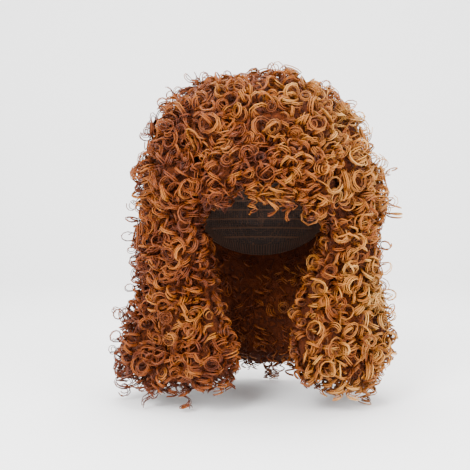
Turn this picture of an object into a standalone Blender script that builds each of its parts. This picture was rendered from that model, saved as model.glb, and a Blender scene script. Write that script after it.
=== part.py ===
"""A curly eighties party wig: a stretch-net cap with an elastic edge band, and tiers of curled locks on it.

Metres, +Z up. The origin is the seat, inside the cap's crown, where the top of the head touches it. The face
looks along -Y, so +X is the head's own left. The hair has coordinates of its own: a turn round the head from
the front, a row from the crown (0) down to the hem (13), and a depth from the head (0) to the outline (1).
"""

import math
from collections import namedtuple

import bmesh
import bpy
from mathutils import Vector

# Head form that the cap is stretched over, as a half-width, a half-length and a rise above its widest ring
HEAD_HALF_WIDTH = 0.0772
HEAD_HALF_LENGTH = 0.0965
HEAD_RISE = 0.100

# Cap: the rim's place is an angle down from the crown
NET_WALL = 0.0012
BAND_WALL = 0.0020
BAND_WIDTH = 0.014
RIM_FRONT = math.radians(64)
RIM_SIDE = math.radians(94)
RIM_NAPE = math.radians(122)
CAP_SIDES = 32
CAP_RINGS = 7
NECK_RINGS = 4

# Outline of the hair
HAIR_TOP = 0.090
HAIR_HANG = 0.318
HAIR_RIGHT = 0.190
HAIR_LEFT = 0.176
HAIR_FRONT = 0.128
HAIR_BACK = 0.157
HAIR_CENTRE_Y = 0.010
HAIR_HEIGHT = HAIR_TOP + HAIR_HANG

# Hollow below the cap: half the face opening, and the space round the neck
FACE_HALF_WIDTH = 0.070
NECK_HALF_WIDTH = 0.066
NECK_DROP = 0.310

# Clearance between pieces, and how far a piece reaches into what trims it
PIECE_GAP = 0.0004
TRIM_DEPTH = 0.002

# Outer rows from crown to hem. drop is a share of HAIR_HEIGHT, right to back of the four reaches above,
# and the two openings of FACE_HALF_WIDTH.
OuterRow = namedtuple("OuterRow", "drop right left front back open_right open_left")
OUTER_ROWS = [
    OuterRow(0.000, 0.00, 0.00, 0.00, 0.00, 0.10, 0.10),
    OuterRow(0.022, 0.32, 0.30, 0.32, 0.32, 0.30, 0.30),
    OuterRow(0.058, 0.51, 0.48, 0.53, 0.52, 0.50, 0.50),
    OuterRow(0.108, 0.65, 0.61, 0.71, 0.69, 0.65, 0.65),
    OuterRow(0.175, 0.75, 0.71, 0.86, 0.83, 0.78, 0.78),
    OuterRow(0.262, 0.82, 0.80, 0.96, 0.94, 0.90, 0.90),
    OuterRow(0.360, 0.86, 0.85, 1.00, 1.00, 0.98, 0.97),
    OuterRow(0.463, 0.875, 0.88, 0.96, 1.00, 1.00, 0.97),
    OuterRow(0.570, 0.87, 0.89, 0.88, 0.97, 0.98, 0.92),
    OuterRow(0.670, 0.88, 0.91, 0.86, 0.92, 0.85, 0.70),
    OuterRow(0.765, 0.94, 0.97, 0.90, 0.88, 0.68, 0.44),
    OuterRow(0.855, 1.00, 1.00, 0.95, 0.86, 0.44, 0.38),
    OuterRow(0.935, 0.98, 0.92, 0.94, 0.83, 0.42, 0.56),
    OuterRow(1.000, 0.88, 0.80, 0.88, 0.78, 0.76, 0.88),
]

# Inner rows: the first ones lie on the head at these angles from the crown, the others round the neck.
# drop is a share of NECK_DROP, and the reaches are shares of NECK_HALF_WIDTH.
HEAD_ROWS = [math.radians(a) for a in (0, 20, 33, 46, 58, 70, 82, 94, 107)]
NeckRow = namedtuple("NeckRow", "drop side front back")
NECK_ROWS = [
    NeckRow(0.54, 0.98, 0.98, 1.08),
    NeckRow(0.66, 0.92, 0.94, 0.98),
    NeckRow(0.79, 0.98, 0.96, 1.02),
    NeckRow(0.90, 1.10, 0.96, 1.12),
    NeckRow(1.00, 1.20, 0.92, 1.20),
]
LAST_ROW = len(OUTER_ROWS) - 1

# Tiers of hair. The mass is the dense underhair; its locks may overhang the tier below, as shingles do.
# cover_row is how far down the tier above hangs over this one.
Tier = namedtuple("Tier", "mass_top mass_hem mass_depth lock_top lock_tip cover_row overhangs")
CROWN_HEM = 4.0
FRINGE_HEM = 5.0
UPPER_HEM = 8.6
OVERHANG = 0.7
TIP_DROP = 0.25
CROWN = Tier(0.0, CROWN_HEM, 0.88, 0.7, CROWN_HEM + OVERHANG + TIP_DROP, 0.0, True)
FRINGE = Tier(CROWN_HEM, FRINGE_HEM, 0.76, 4.6, 7.0, CROWN_HEM + OVERHANG, False)
UPPER = Tier(CROWN_HEM, UPPER_HEM, 0.78, 4.6, UPPER_HEM + OVERHANG + TIP_DROP, CROWN_HEM + OVERHANG, True)
LOWER = Tier(UPPER_HEM, 12.3, 0.78, 9.2, 13.0, UPPER_HEM + OVERHANG, False)

# Depths that part an overhanging tier from the one below it, and the shape of a lock
SHINGLE_UNDER = 0.58
SHINGLE_OVER = 0.67
SHINGLE_ROWS = 0.45
LOCK_ROOT_DEPTH = 0.40
LOCK_SIDES = 5
LOCK_STEP = 0.7
LOCK_FLATNESS = 0.8
LOCK_TWIST = math.radians(50)
LOCK_SPREAD = 0.64
LOCK_TIP_SHARE = 0.24
LAST_RING = 0.4
LOCK_FILL = 1.2
EDGE_MARGIN = 0.02
GOLDEN_TURN = math.pi * (3 - math.sqrt(5))

# How far each lock of a section falls short of the tier's tip, in rows, from the first edge to the last
FRINGE_SHORT = (0.0, 0.5, 1.0, 0.4, -0.3)
SIDE_SHORT = (0.2, 0.0, 0.3, 0.1, 0.0, 0.3)
BACK_SHORT = (0.2, 0.0, 0.3, 0.1, 0.0, 0.3, 0.1, 0.2, 0.0)

BACK_EDGE = math.radians(106)
SIDE_SPANS = 5
BACK_SPANS = 9
FRINGE_SPANS = 5
CROWN_LOCKS = 12

HAIR_COLOUR = (0.36, 0.15, 0.04, 1.0)
NET_COLOUR = (0.10, 0.055, 0.03, 1.0)
BAND_COLOUR = (0.07, 0.04, 0.025, 1.0)


def clear_scene():
    """Removes every object that the file opens with."""
    for obj in list(bpy.data.objects):
        bpy.data.objects.remove(obj, do_unlink=True)


def new_collection(name):
    """Makes a collection in the scene."""
    made = bpy.data.collections.new(name)
    bpy.context.scene.collection.children.link(made)
    return made


def new_material(name, colour, roughness):
    """A plain Principled material."""
    made = bpy.data.materials.new(name)
    made.use_nodes = True
    shader = made.node_tree.nodes["Principled BSDF"]
    shader.inputs["Base Color"].default_value = colour
    shader.inputs["Roughness"].default_value = roughness
    shader.inputs["Metallic"].default_value = 0.0
    return made


def smooth_step(x):
    """Eases from 0 to 1 as x goes from 0 to 1."""
    x = min(1.0, max(0.0, x))
    return x * x * (3 - 2 * x)


def between(values, row):
    """Reads a list at a fractional row, on a Catmull-Rom curve through its entries."""
    last = len(values) - 1
    row = min(float(last), max(0.0, row))
    i = min(int(row), last - 1)
    t = row - i
    before = values[max(i - 1, 0)]
    start, end = values[i], values[i + 1]
    after = values[min(i + 2, last)]
    return 0.5 * (
        2 * start
        + (end - before) * t
        + (2 * before - 5 * start + 4 * end - after) * t * t
        + (3 * start - before - 3 * end + after) * t * t * t
    )


def column(rows, name, row):
    """Reads one named column of a table at a fractional row."""
    return between([getattr(r, name) for r in rows], row)


def head_point(turn, angle, grow=0.0):
    """A point on the head form, or grow outside it, at a turn from the front and an angle from the crown."""
    return Vector(
        (
            (HEAD_HALF_WIDTH + grow) * math.sin(angle) * math.sin(turn),
            -(HEAD_HALF_LENGTH + grow) * math.sin(angle) * math.cos(turn),
            -HEAD_RISE + (HEAD_RISE + grow) * math.cos(angle),
        )
    )


def outer_point(turn, row):
    """A point on the hair's outline."""
    side = HAIR_LEFT * column(OUTER_ROWS, "left", row)
    if math.sin(turn) < 0:
        side = HAIR_RIGHT * column(OUTER_ROWS, "right", row)
    reach = HAIR_FRONT * column(OUTER_ROWS, "front", row)
    if math.cos(turn) < 0:
        reach = HAIR_BACK * column(OUTER_ROWS, "back", row)
    return Vector(
        (
            side * math.sin(turn),
            HAIR_CENTRE_Y - reach * math.cos(turn),
            HAIR_TOP - HAIR_HEIGHT * column(OUTER_ROWS, "drop", row),
        )
    )


def neck_point(turn, neck_row):
    """A point on the hollow round the neck."""
    side = NECK_HALF_WIDTH * column(NECK_ROWS, "side", neck_row)
    name = "front" if math.cos(turn) > 0 else "back"
    reach = NECK_HALF_WIDTH * column(NECK_ROWS, name, neck_row)
    return Vector(
        (
            side * math.sin(turn),
            HAIR_CENTRE_Y - reach * math.cos(turn),
            -NECK_DROP * column(NECK_ROWS, "drop", neck_row),
        )
    )


def inner_point(turn, row):
    """A point on the inside of the hair: on the head form, then round the neck."""
    last_head = len(HEAD_ROWS) - 1
    if row <= last_head:
        return head_point(turn, between(HEAD_ROWS, row), NET_WALL - TRIM_DEPTH)
    share = smooth_step(row - last_head)
    on_head = head_point(turn, HEAD_ROWS[-1], NET_WALL - TRIM_DEPTH)
    on_neck = neck_point(turn, max(0.0, row - last_head - 1))
    return on_head.lerp(on_neck, share)


def inner_half_width(row):
    """Half the width of the hollow at a row."""
    return abs(inner_point(math.pi / 2, row).x)


def face_edge(side):
    """The edge of the face opening as a function from a row to an inner and an outer turn."""
    name = "open_right" if side < 0 else "open_left"

    def at(row):
        opening = FACE_HALF_WIDTH * column(OUTER_ROWS, name, row)
        inner = math.asin(min(0.92, opening / inner_half_width(row)))
        outer = math.asin(min(0.92, opening / abs(outer_point(side * math.pi / 2, row).x)))
        return side * inner, side * outer

    return at


def fixed_edge(turn):
    """An edge at one turn all the way down."""

    def at(_row):
        return turn, turn

    return at


def hair_point(section, across, row, depth):
    """A point of a section's hair: a share across it, a row down it and a depth out from the head."""
    (in_a, out_a), (in_b, out_b) = section.first(row), section.last(row)
    inner = inner_point(in_a + (in_b - in_a) * across, row)
    outer = outer_point(out_a + (out_b - out_a) * across, row)
    return inner.lerp(outer, depth)


Section = namedtuple("Section", "name tier first last spans short")

RIGHT_FACE = face_edge(-1)
LEFT_FACE = face_edge(1)
RIGHT_BACK = fixed_edge(-BACK_EDGE)
LEFT_BACK = fixed_edge(BACK_EDGE)
FULL_BACK = fixed_edge(2 * math.pi - BACK_EDGE)

FRINGE_SECTION = Section(
    "fringe_locks", FRINGE, RIGHT_FACE, LEFT_FACE, FRINGE_SPANS, FRINGE_SHORT
)
LEFT_TEMPLE = Section("temple_locks_left", UPPER, LEFT_FACE, LEFT_BACK, SIDE_SPANS, SIDE_SHORT)
BACK_SECTION = Section("back_locks", UPPER, LEFT_BACK, FULL_BACK, BACK_SPANS, BACK_SHORT)
RIGHT_TEMPLE = Section("temple_locks_right", UPPER, RIGHT_BACK, RIGHT_FACE, SIDE_SPANS, SIDE_SHORT)
LEFT_CURTAIN = LEFT_TEMPLE._replace(name="curtain_locks_left", tier=LOWER)
NAPE_SECTION = BACK_SECTION._replace(name="nape_locks", tier=LOWER)
RIGHT_CURTAIN = RIGHT_TEMPLE._replace(name="curtain_locks_right", tier=LOWER)
HUNG_SECTIONS = [
    FRINGE_SECTION,
    LEFT_TEMPLE,
    BACK_SECTION,
    RIGHT_TEMPLE,
    LEFT_CURTAIN,
    NAPE_SECTION,
    RIGHT_CURTAIN,
]
RING_OF_SECTIONS = [FRINGE_SECTION, LEFT_TEMPLE, BACK_SECTION, RIGHT_TEMPLE]


def row_gap():
    """The clearance between two tiers, in rows."""
    return PIECE_GAP * LAST_ROW / HAIR_HEIGHT


def object_from(bm, name, collection, material=None):
    """Makes an object of a bmesh, with its faces flat and turned out."""
    bmesh.ops.recalc_face_normals(bm, faces=bm.faces)
    bmesh.ops.triangulate(bm, faces=bm.faces)
    mesh = bpy.data.meshes.new(name)
    bm.to_mesh(mesh)
    bm.free()
    if material:
        mesh.materials.append(material)
    obj = bpy.data.objects.new(name, mesh)
    collection.objects.link(obj)
    return obj


def skin_rings(bm, rings, closed):
    """Joins rings of vertices with quads, all the way round if closed."""
    for upper, lower in zip(rings, rings[1:]):
        count = len(upper)
        for i in range(count if closed else count - 1):
            j = (i + 1) % count
            bm.faces.new((upper[i], upper[j], lower[j], lower[i]))


def fan(bm, point, ring):
    """Closes a ring to a point."""
    tip = bm.verts.new(point)
    for i, vert in enumerate(ring):
        bm.faces.new((tip, vert, ring[(i + 1) % len(ring)]))


def rim_angle(turn):
    """The rim as an angle from the crown: high on the forehead, lower at the ears, lowest at the nape."""
    facing = math.cos(turn)
    middle = (RIM_FRONT + RIM_NAPE) / 2 - RIM_SIDE
    return RIM_SIDE + facing * (RIM_FRONT - RIM_NAPE) / 2 + facing * facing * middle


def band_angle():
    """The angle that the band's width covers on the head."""
    return BAND_WIDTH / HEAD_RISE


def cap_ring(bm, share_angle, grow):
    """One ring of vertices on the head form, at an angle that is a function of the turn."""
    turns = [2 * math.pi * i / CAP_SIDES for i in range(CAP_SIDES)]
    return [bm.verts.new(head_point(turn, share_angle(turn), grow)) for turn in turns]


def net_rings(bm, grow):
    """The rings of the net dome, from below the crown to the top of the band."""
    return [
        cap_ring(bm, lambda turn, k=k: (rim_angle(turn) - band_angle()) * k / CAP_RINGS, grow)
        for k in range(1, CAP_RINGS + 1)
    ]


def thicken(obj, wall):
    """Gives an open surface its wall, inwards."""
    solidify = obj.modifiers.new("wall", "SOLIDIFY")
    solidify.thickness = wall
    solidify.offset = -1
    solidify.use_even_offset = True


def make_cap_net(collection, material):
    """The net dome: an open surface with a wall."""
    bm = bmesh.new()
    rings = net_rings(bm, NET_WALL)
    skin_rings(bm, rings, closed=True)
    fan(bm, head_point(0, 0, NET_WALL), rings[0])
    obj = object_from(bm, "cap_net", collection, material)
    thicken(obj, NET_WALL)
    return obj


def make_cap_band(collection, material):
    """The elastic band that carries on from the net down to the rim."""
    bm = bmesh.new()
    top = band_angle() - PIECE_GAP / HEAD_RISE
    rings = [
        cap_ring(bm, lambda turn, share=share: rim_angle(turn) - top * share, NET_WALL)
        for share in (1.0, 0.5, 0.0)
    ]
    skin_rings(bm, rings, closed=True)
    obj = object_from(bm, "cap_band", collection, material)
    thicken(obj, BAND_WALL)
    return obj


def make_head_cutter(collection):
    """The space that the cap and the head take up, which the underhair is cut back from."""
    bm = bmesh.new()
    grow = NET_WALL + PIECE_GAP
    rings = net_rings(bm, grow)
    rings.append(cap_ring(bm, lambda turn: rim_angle(turn) - band_angle() / 2, grow))
    for k in range(NECK_RINGS):
        share = k / NECK_RINGS
        rings.append(
            cap_ring(
                bm,
                lambda turn, share=share: rim_angle(turn) + (math.pi - rim_angle(turn)) * share,
                grow,
            )
        )
    skin_rings(bm, rings, closed=True)
    fan(bm, head_point(0, 0, grow), rings[0])
    fan(bm, head_point(0, math.pi, grow), rings[-1])
    cutter = object_from(bm, "head_cutter", collection)
    cutter.hide_render = True
    cutter.display_type = "WIRE"
    return cutter


def mass_rows(tier):
    """The rows where an underhair mass is sampled: whole ones, as its neighbours are, and its two ends."""
    inside = range(math.floor(tier.mass_top) + 1, math.ceil(tier.mass_hem))
    return [tier.mass_top + row_gap(), *inside, tier.mass_hem]


def shingle(tier, row):
    """How far a tier has come out from under the one above it at a row, from 0 to 1."""
    if not tier.cover_row:
        return 1.0
    return smooth_step((row - tier.cover_row) / SHINGLE_ROWS)


def mass_depth(tier, row):
    """The depth of a tier's underhair at a row. It narrows where another tier's underhair meets it."""
    bulge = shingle(tier, row)
    if tier.overhangs:
        bulge *= 1 - smooth_step(row - tier.mass_hem + 1)
    return SHINGLE_UNDER + (tier.mass_depth - SHINGLE_UNDER) * bulge


def make_section_mass(section, collection):
    """The underhair of one hanging section: a curved slab between the head and the locks."""
    bm = bmesh.new()
    rows = mass_rows(section.tier)
    edge = PIECE_GAP / HAIR_FRONT
    shares = [edge + (1 - 2 * edge) * i / section.spans for i in range(section.spans + 1)]
    loops = []
    for row in rows:
        inner = [bm.verts.new(hair_point(section, share, row, 0.0)) for share in shares]
        outer = [
            bm.verts.new(hair_point(section, share, row, mass_depth(section.tier, row)))
            for share in reversed(shares)
        ]
        loops.append(inner + outer)
    skin_rings(bm, loops, closed=True)
    for loop in (loops[0], loops[-1]):
        half = len(loop) // 2
        for i in range(half - 1):
            bm.faces.new((loop[i], loop[i + 1], loop[-2 - i], loop[-1 - i]))
    return object_from(bm, section.name, collection)


def crown_turns(row):
    """The inner and outer turns of the crown's ring, which are those of the sections that hang below it."""
    turns = []
    for section in RING_OF_SECTIONS:
        (in_a, out_a), (in_b, out_b) = section.first(row), section.last(row)
        for i in range(section.spans):
            share = i / section.spans
            turns.append((in_a + (in_b - in_a) * share, out_a + (out_b - out_a) * share))
    return turns


def make_crown_mass(collection):
    """The underhair of the crown: a thick dome over the net."""
    bm = bmesh.new()
    turns = crown_turns(CROWN_HEM)
    rows = [0.5, 1.2, 2.0, 3.0, CROWN_HEM]
    outer_rings = []
    inner_rings = []
    for row in rows:
        inner_ring = []
        outer_ring = []
        for turn_in, turn_out in turns:
            inner = inner_point(turn_in, row)
            outer = inner.lerp(outer_point(turn_out, row), mass_depth(CROWN, row))
            outer_ring.append(bm.verts.new(outer))
            inner_ring.append(bm.verts.new(inner))
        outer_rings.append(outer_ring)
        inner_rings.append(inner_ring)
    skin_rings(bm, outer_rings + inner_rings[::-1], closed=True)
    inner_top = inner_point(0, 0)
    fan(bm, inner_top.lerp(outer_point(0, 0), CROWN.mass_depth), outer_rings[0])
    fan(bm, inner_top, inner_rings[0])
    return object_from(bm, "crown_locks", collection)


def lock_depths(tier, row):
    """The lowest and highest depth that a tier's locks may fill at a row."""
    high = SHINGLE_UNDER + (1 - SHINGLE_UNDER) * shingle(tier, row)
    low = LOCK_ROOT_DEPTH
    if tier.overhangs:
        low += (SHINGLE_OVER - LOCK_ROOT_DEPTH) * smooth_step(row - tier.mass_hem + 1)
    return low, high


def lock_fullness(share):
    """A lock's girth along its length: rounded at the root and drawn in to a tip."""
    root = min(1.0, 0.55 + 3 * share)
    tip = math.sqrt(max(0.0, 1 - max(0.0, (share - 1) / LOCK_TIP_SHARE + 1) ** 2))
    return root * tip


def make_lock(point_at, tier, half_across, tip_row, turn_start, name, collection):
    """One twisted lock: rings of a flattened section that turns as it goes down, from a root to a tip."""
    bm = bmesh.new()
    count = max(3, round((tip_row - tier.lock_top) / LOCK_STEP))
    rings = []
    for k in [*range(count), count - LAST_RING]:
        share = k / count
        row = tier.lock_top + (tip_row - tier.lock_top) * share
        low, high = lock_depths(tier, row)
        full = lock_fullness(share)
        twist = turn_start + LOCK_TWIST * k
        ring = []
        for side in range(LOCK_SIDES):
            angle = 2 * math.pi * side / LOCK_SIDES
            wide, flat = math.cos(angle), LOCK_FLATNESS * math.sin(angle)
            across = wide * math.cos(twist) - flat * math.sin(twist)
            deep = wide * math.sin(twist) + flat * math.cos(twist)
            depth = (low + high) / 2 + deep * full * LOCK_FILL * (high - low) / 2
            depth = min(high, max(low, depth))
            ring.append(bm.verts.new(point_at(across * half_across * full, row, depth)))
        rings.append(ring)
    skin_rings(bm, rings, closed=True)
    low, high = lock_depths(tier, tier.lock_top)
    fan(bm, point_at(0, tier.lock_top - LOCK_STEP / 4, (low + high) / 2), rings[0])
    low, high = lock_depths(tier, tip_row)
    fan(bm, point_at(0, tip_row, (low + high) / 2), rings[-1])
    return object_from(bm, name, collection)


def section_locks(section, collection):
    """The locks of a hanging section, side by side from its first edge to its last."""
    count = len(section.short)
    half = LOCK_SPREAD / count
    start = half + EDGE_MARGIN
    pitch = (1 - 2 * start) / (count - 1)
    locks = []
    for k, short in enumerate(section.short):

        def point_at(offset, row, depth, centre=start + pitch * k):
            return hair_point(section, centre + offset, row, depth)

        tip_row = section.tier.lock_tip - short
        name = f"{section.name}_{k + 1}"
        locks.append(
            make_lock(point_at, section.tier, half, tip_row, GOLDEN_TURN * k, name, collection)
        )
    return locks


def crown_locks(collection):
    """The ring of locks that fall all round from the crown."""
    half = 2 * math.pi * LOCK_SPREAD / CROWN_LOCKS
    locks = []
    for k in range(CROWN_LOCKS):

        def point_at(offset, row, depth, centre=2 * math.pi * k / CROWN_LOCKS):
            turn = centre + offset
            return inner_point(turn, row).lerp(outer_point(turn, row), depth)

        tip_row = CROWN.lock_tip - 0.2 * (k % 3)
        name = f"crown_lock_{k + 1}"
        locks.append(make_lock(point_at, CROWN, half, tip_row, GOLDEN_TURN * k, name, collection))
    return locks


def drop_pockets(mesh):
    """Fills the small sealed pockets that crossing locks leave, by removing their inner surfaces."""
    bm = bmesh.new()
    bm.from_mesh(mesh)
    unseen = set(bm.faces)
    pockets = []
    while unseen:
        island = [unseen.pop()]
        for face in island:
            for edge in face.edges:
                for other in edge.link_faces:
                    if other in unseen:
                        unseen.discard(other)
                        island.append(other)
        volume = 0.0
        for face in island:
            corners = [v.co for v in face.verts]
            for a, b in zip(corners[1:], corners[2:]):
                volume += corners[0].dot(a.cross(b))
        if volume < 0:
            pockets.extend(island)
    bmesh.ops.delete(bm, geom=pockets, context="FACES")
    bmesh.ops.triangulate(bm, faces=bm.faces)
    bm.to_mesh(mesh)
    bm.free()


def fuse(mass, locks, cutter, workshop, material):
    """Cuts the underhair back from the cap, and fuses its locks to it into one solid."""
    group = bpy.data.collections.new(f"{mass.name}_loose")
    workshop.children.link(group)
    for lock in locks:
        group.objects.link(lock)
        workshop.objects.unlink(lock)
    trim = mass.modifiers.new("clear_of_cap", "BOOLEAN")
    trim.operation = "DIFFERENCE"
    trim.object = cutter
    union = mass.modifiers.new("locks", "BOOLEAN")
    union.operation = "UNION"
    union.operand_type = "COLLECTION"
    union.collection = group
    bpy.context.view_layer.update()
    depsgraph = bpy.context.evaluated_depsgraph_get()
    fused = bpy.data.meshes.new_from_object(mass.evaluated_get(depsgraph))
    drop_pockets(fused)
    mass.modifiers.clear()
    mass.data = fused
    mass.data.materials.clear()
    mass.data.materials.append(material)
    for lock in locks:
        bpy.data.objects.remove(lock, do_unlink=True)
    return mass


def main():
    """Builds the wig."""
    clear_scene()
    wig = new_collection("eighties_wig")
    workshop = new_collection("cutters")
    hair = new_material("curled_hair", HAIR_COLOUR, 0.5)
    make_cap_net(wig, new_material("stretch_net", NET_COLOUR, 0.8))
    make_cap_band(wig, new_material("elastic_band", BAND_COLOUR, 0.7))
    cutter = make_head_cutter(workshop)
    fuse(make_crown_mass(wig), crown_locks(workshop), cutter, workshop, hair)
    for section in HUNG_SECTIONS:
        mass = make_section_mass(section, wig)
        fuse(mass, section_locks(section, workshop), cutter, workshop, hair)


main()
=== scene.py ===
"""Looks of a curly eighties wig: thousands of coiled strands over a dark underhair, on a stretch-net cap.

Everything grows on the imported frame. The underhair is the frame's hair solids, fused and drawn in, and each
curl is rooted on it. A curl is a guide line that carries its winding as attributes, and one Geometry Nodes
tree winds the strands round it and sweeps them. Sizes are in metres.
"""

from __future__ import annotations

import logging
import math
from collections.abc import Callable
from dataclasses import dataclass, field, replace
from enum import Enum
from itertools import product

import bmesh
import bpy
import numpy as np
from bmesh.types import BMesh
from bpy.types import Material, Mesh, Node, Object
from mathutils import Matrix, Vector, noise
from mathutils.bvhtree import BVHTree
from mathutils.kdtree import KDTree

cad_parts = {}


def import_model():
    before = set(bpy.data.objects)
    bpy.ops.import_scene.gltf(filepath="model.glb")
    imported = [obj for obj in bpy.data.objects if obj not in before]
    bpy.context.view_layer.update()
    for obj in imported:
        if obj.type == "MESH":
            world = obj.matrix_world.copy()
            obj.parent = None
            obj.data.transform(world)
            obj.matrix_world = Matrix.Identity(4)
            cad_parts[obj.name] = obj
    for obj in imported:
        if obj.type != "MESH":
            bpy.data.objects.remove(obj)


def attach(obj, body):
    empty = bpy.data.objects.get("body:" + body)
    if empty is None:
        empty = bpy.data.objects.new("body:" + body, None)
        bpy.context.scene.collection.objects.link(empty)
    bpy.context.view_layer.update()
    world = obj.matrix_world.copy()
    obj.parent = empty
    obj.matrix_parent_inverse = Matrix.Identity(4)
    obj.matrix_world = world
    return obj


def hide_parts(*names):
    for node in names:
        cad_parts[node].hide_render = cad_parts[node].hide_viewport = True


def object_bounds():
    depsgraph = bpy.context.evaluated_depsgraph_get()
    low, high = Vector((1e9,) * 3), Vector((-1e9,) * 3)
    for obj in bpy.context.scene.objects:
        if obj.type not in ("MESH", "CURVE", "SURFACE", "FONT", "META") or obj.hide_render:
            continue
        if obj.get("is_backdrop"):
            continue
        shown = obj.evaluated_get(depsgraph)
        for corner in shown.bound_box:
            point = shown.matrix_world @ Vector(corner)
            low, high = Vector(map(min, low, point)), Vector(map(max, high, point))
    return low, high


LOG = logging.getLogger("wig")
BODY = "root"
HEM_REACH = 0.015

Span = tuple[float, float]


class Tier(Enum):
    """The tiers of hair, each under the name of its node in the frame."""

    CROWN = "crown_locks"
    FRINGE = "fringe_locks"
    TEMPLE_RIGHT = "temple_locks_right"
    TEMPLE_LEFT = "temple_locks_left"
    BACK = "back_locks"
    CURTAIN_RIGHT = "curtain_locks_right"
    CURTAIN_LEFT = "curtain_locks_left"
    NAPE = "nape_locks"


TIER_SPACING = {Tier.FRINGE: 0.0074, Tier.CROWN: 0.0099, Tier.BACK: 0.0100, Tier.NAPE: 0.0100}


class Facing(Enum):
    """Which way a patch of underhair looks."""

    HIDDEN = 0
    INSIDE = 1
    FACE_EDGE = 2
    OUTSIDE = 3


class Sock:
    """A node socket that takes part in expressions, each of which adds its nodes to the tree."""

    def __init__(self, tree: NodeTree, socket: bpy.types.NodeSocket) -> None:
        """Wraps a socket of a tree."""
        self.tree = tree
        self.socket = socket

    def __add__(self, other: object) -> Sock:
        """Sum."""
        return self.tree.maths("ADD", self, other)

    def __sub__(self, other: object) -> Sock:
        """Difference."""
        return self.tree.maths("SUBTRACT", self, other)

    def __rsub__(self, other: object) -> Sock:
        """Difference, reflected."""
        return self.tree.maths("SUBTRACT", other, self)

    def __mul__(self, other: object) -> Sock:
        """Product."""
        return self.tree.maths("MULTIPLY", self, other)

    def clamped(self) -> Sock:
        """The value kept between 0 and 1."""
        return self.tree.maths("MINIMUM", self.tree.maths("MAXIMUM", self, 0.0), 1.0)


@dataclass
class NodeTree:
    """A node tree with short ways to add nodes, for shaders and for geometry."""

    tree: bpy.types.NodeTree

    def node(self, kind: str, settings: dict | None = None, **inputs: object) -> Node:
        """Adds a node.

        Args:
            kind: the node's type.
            settings: its properties, which are set first.
            inputs: values or links by socket name, with _ for a space, or by index as i0, i1 and so on.

        Returns:
            The node.
        """
        made = self.tree.nodes.new(kind)
        for key, value in (settings or {}).items():
            setattr(made, key, value)
        for key, value in inputs.items():
            place = int(key[1:]) if key[0] == "i" and key[1:].isdigit() else key.replace("_", " ")
            socket = made.inputs[place]
            if isinstance(value, Sock):
                self.tree.links.new(value.socket, socket)
            else:
                socket.default_value = value
        return made

    def out(self, node: Node, name: str | int = 0) -> Sock:
        """An output of a node, by name or index."""
        return Sock(self, node.outputs[name])

    def maths(self, operation: str, *values: object) -> Sock:
        """A Math node's result."""
        inputs = {f"i{i}": value for i, value in enumerate(values)}
        return self.out(self.node("ShaderNodeMath", {"operation": operation}, **inputs))

    def vector(self, operation: str, *values: object, result: str | int = 0, **named: object) -> Sock:
        """A Vector Math node's result. Inputs such as Scale come by name."""
        inputs = {f"i{i}": value for i, value in enumerate(values)} | named
        return self.out(self.node("ShaderNodeVectorMath", {"operation": operation}, **inputs), result)

    def mix_colour(self, factor: object, first: object, second: object) -> Sock:
        """A blend of two colours."""
        return self.out(self.node("ShaderNodeMix", {"data_type": "RGBA"}, i0=factor, i6=first, i7=second), 2)

    def noise(self, where: Sock, scale: float, detail: float) -> Sock:
        """A Noise Texture's value."""
        return self.out(self.node("ShaderNodeTexNoise", None, Vector=where, Scale=scale, Detail=detail))

    def part(self, vector: Sock, name: str) -> Sock:
        """The X, Y or Z of a vector."""
        return self.out(self.node("ShaderNodeSeparateXYZ", i0=vector), name)

    def attribute(self, name: str) -> Sock:
        """A value that the mesh carries, in a shader."""
        return self.out(self.node("ShaderNodeAttribute", {"attribute_name": name}), "Fac")

    def step(self, kind: str, settings: dict | None = None, **inputs: object) -> Sock:
        """A geometry node's result."""
        return self.out(self.node(f"GeometryNode{kind}", settings, **inputs))

    def named(self, name: str, kind: str = "FLOAT") -> Sock:
        """A value that the geometry carries, in Geometry Nodes."""
        return self.step("InputNamedAttribute", {"data_type": kind}, Name=name)

    def store(self, shape: Sock, name: str, value: Sock, kind: str = "FLOAT", domain: str = "POINT") -> Sock:
        """Geometry that carries a value under a name."""
        settings = {"data_type": kind, "domain": domain}
        return self.step("StoreNamedAttribute", settings, Geometry=shape, Name=name, Value=value)


def linear(red: int, green: int, blue: int) -> tuple[float, ...]:
    """A colour as a screen shows it, from 0 to 255, made linear, with an alpha of 1."""
    shares = [value / 255 for value in (red, green, blue)]
    return (*(s / 12.92 if s <= 0.04045 else ((s + 0.055) / 1.055) ** 2.4 for s in shares), 1.0)


def add_object(name: str, data: bpy.types.ID) -> Object:
    """Adds an object to the scene.

    Args:
        name: its name.
        data: its mesh, lamp or camera.

    Returns:
        The object.
    """
    made = bpy.data.objects.new(name, data)
    bpy.context.scene.collection.objects.link(made)
    return made


class Surface:
    """A new material with a Principled shader."""

    def __init__(self, name: str, **even: object) -> None:
        """Starts the material.

        Args:
            name: its name.
            even: what is the same all over it, by socket name, with _ for a space.
        """
        self.material = bpy.data.materials.new(name)
        self.material.use_nodes = True
        self.tree = NodeTree(self.material.node_tree)
        self.shader = self.material.node_tree.nodes["Principled BSDF"]
        for key, value in even.items():
            self.shader.inputs[key.replace("_", " ")].default_value = value

    def place(self) -> Sock:
        """The piece's own coordinates."""
        return self.tree.out(self.tree.node("ShaderNodeTexCoord"), "Object")

    def feed(self, socket: str, value: Sock) -> None:
        """Links what varies over the surface to a socket of the shader."""
        self.tree.tree.links.new(value.socket, self.shader.inputs[socket])

    def relief(self, height: Sock, strength: float, distance: float) -> None:
        """Gives the surface fine ridges."""
        made = self.tree.node("ShaderNodeBump", None, Strength=strength, Distance=distance, Height=height)
        self.feed("Normal", self.tree.out(made))


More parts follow.
